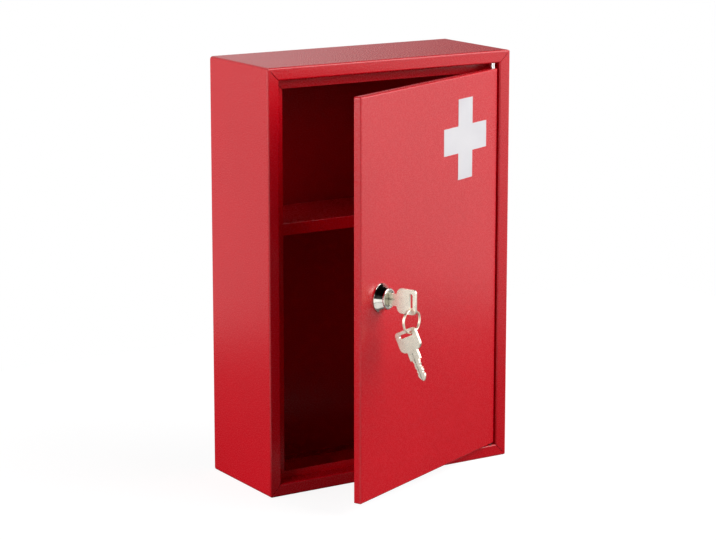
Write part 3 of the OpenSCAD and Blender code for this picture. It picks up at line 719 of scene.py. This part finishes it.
# All round below the table lies a pale cloth. In front on the left a white paper is
# brighter and reaches higher.
LOW_CLOTH = 0.70
CLOTH_FULL_TO, CLOTH_TOP = -0.26, -0.20
FRONT_PAPER = 1.5
PAPER_HEADING = (-0.7, -0.7, 0.0)
PAPER_FROM, PAPER_FULL = 0.60, 0.82
PAPER_HIGHER = 0.20

for name, azimuth, elevation, width, height, watts in LAMPS:
    turn = math.radians(azimuth)
    rise = math.radians(elevation)
    back = Vector((
        math.sin(turn) * math.cos(rise), -math.cos(turn) * math.cos(rise), math.sin(rise)))
    bpy.ops.object.light_add(type="AREA", location=LAMP_TARGET + back * LAMP_DISTANCE)
    lamp = bpy.context.object
    lamp.name = name
    lamp.rotation_euler = back.to_track_quat("Z", "Y").to_euler()
    lamp.data.shape = "RECTANGLE"
    lamp.data.size = width
    lamp.data.size_y = height
    lamp.data.energy = watts

world = bpy.data.worlds.new("white_wall_dark_room")
bpy.context.scene.world = world
world.use_nodes = True
tree = world.node_tree
tree.nodes.clear()
rays = add_node(tree, "ShaderNodeLightPath", {}, {})
mirrored = add_node(tree, "ShaderNodeMath", {"operation": "MAXIMUM"}, {
    0: rays.outputs["Is Glossy Ray"], 1: rays.outputs["Is Transmission Ray"]})
heading = add_node(tree, "ShaderNodeTexCoord", {}, {}).outputs["Generated"]
parts = add_node(tree, "ShaderNodeSeparateXYZ", {}, {0: heading})

along = add_node(tree, "ShaderNodeVectorMath", {"operation": "DOT_PRODUCT"}, {
    0: heading, 1: ROOM_LINE})
along_share = add_node(tree, "ShaderNodeMapRange", {}, {
    "Value": along,
    "From Min": -ROOM_LINE_END, "From Max": ROOM_LINE_END, "To Min": 0.0, "To Max": 1.0})
sides = add_node(tree, "ShaderNodeValToRGB", {}, {"Fac": along_share})
stops = sides.color_ramp.elements
while len(stops) < len(ROOM_SIDES):
    stops.new(0.5)
for stop, (where, white) in zip(stops, ROOM_SIDES):
    stop.position = (where + ROOM_LINE_END) / (2 * ROOM_LINE_END)
    stop.color = (white, white, white, 1)
window = add_node(tree, "ShaderNodeMapRange", {}, {
    "Value": along, "From Min": WINDOW_FROM, "From Max": WINDOW_FULL,
    "To Min": 1.0, "To Max": WINDOW_BRIGHTER})

lowered = add_node(tree, "ShaderNodeMapRange", {}, {
    "Value": parts.outputs["Y"], "From Min": 0.0, "From Max": 1.0,
    "To Min": 0.0, "To Max": -WALL_HIGHER_BEHIND})
wall_height = add_node(tree, "ShaderNodeMath", {"operation": "ADD"}, {
    0: parts.outputs["Z"], 1: lowered})
wall_share = add_node(tree, "ShaderNodeMapRange", {}, {
    "Value": wall_height, "From Min": WALL_FULL_TO, "From Max": WALL_TOP,
    "To Min": 1.0, "To Max": OVER_WALL})
wall = add_node(tree, "ShaderNodeMath", {"operation": "MULTIPLY"}, {0: sides, 1: wall_share})
lit_wall = add_node(tree, "ShaderNodeMath", {"operation": "MULTIPLY"}, {0: wall, 1: window})

front_left = add_node(tree, "ShaderNodeVectorMath", {"operation": "DOT_PRODUCT"}, {
    0: heading, 1: PAPER_HEADING})
paper_share = add_node(tree, "ShaderNodeMapRange", {}, {
    "Value": front_left, "From Min": PAPER_FROM, "From Max": PAPER_FULL,
    "To Min": 0.0, "To Max": 1.0})
cloth_height = add_node(tree, "ShaderNodeMath", {"operation": "MULTIPLY_ADD"}, {
    0: paper_share, 1: -PAPER_HIGHER, 2: parts.outputs["Z"]})
cloth_white = add_node(tree, "ShaderNodeMath", {"operation": "MULTIPLY_ADD"}, {
    0: paper_share, 1: FRONT_PAPER - LOW_CLOTH, 2: LOW_CLOTH})
cloth_share = add_node(tree, "ShaderNodeMapRange", {}, {
    "Value": cloth_height, "From Min": CLOTH_FULL_TO, "From Max": CLOTH_TOP,
    "To Min": 1.0, "To Max": 0.0})
cloth = add_node(tree, "ShaderNodeMath", {"operation": "MULTIPLY"}, {
    0: cloth_white, 1: cloth_share})
around = add_node(tree, "ShaderNodeMath", {"operation": "MAXIMUM"}, {0: lit_wall, 1: cloth})

ambient = add_node(tree, "ShaderNodeMapRange", {}, {
    "Value": parts.outputs["Y"], "From Min": 0.0, "From Max": BEHIND_FULL,
    "To Min": AMBIENT, "To Max": AMBIENT_BEHIND})
room = add_node(tree, "ShaderNodeMix", {"data_type": "FLOAT"}, {
    0: mirrored, 2: ambient, 3: around})
strength = add_node(tree, "ShaderNodeMix", {"data_type": "FLOAT"}, {
    0: rays.outputs["Is Camera Ray"], 2: room, 3: WALL_SEEN})
sky = add_node(tree, "ShaderNodeBackground", {}, {"Color": ROOM_WHITE, "Strength": strength})
add_node(tree, "ShaderNodeOutputWorld", {}, {"Surface": sky})

bpy.context.scene.view_settings.view_transform = "Standard"
